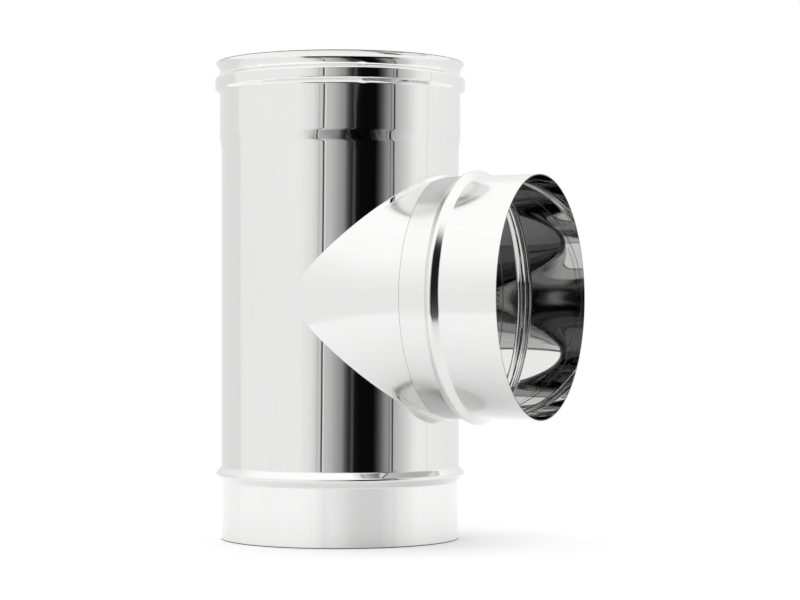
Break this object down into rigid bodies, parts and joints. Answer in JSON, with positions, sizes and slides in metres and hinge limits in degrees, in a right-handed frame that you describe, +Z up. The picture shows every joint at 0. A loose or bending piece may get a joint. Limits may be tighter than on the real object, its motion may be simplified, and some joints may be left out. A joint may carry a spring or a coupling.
{
  "type": "stove pipe tee",
  "caption": "Equal 90 degree tee for round stove or flue pipe in thin polished stainless sheet: socket on top, spigot below, spigot on the branch.",
  "frame": {"origin": "centre of the run's lower rim, where the tee stands", "axes": "+Z up the run from the spigot to the socket, +X out of the branch"},
  "size_m": [0.2176, 0.1592, 0.3019],
  "materials": {
    "polished_stainless": "mirror-polished stainless sheet with faint rolling marks",
    "weld_metal": "brushed weld seam"
  },
  "bodies": {
    "root": {"main_pipe": "polished_stainless", "branch_stub": "polished_stainless", "branch_spigot": "polished_stainless", "saddle_weld": "weld_metal"}
  },
  "joints": []
}
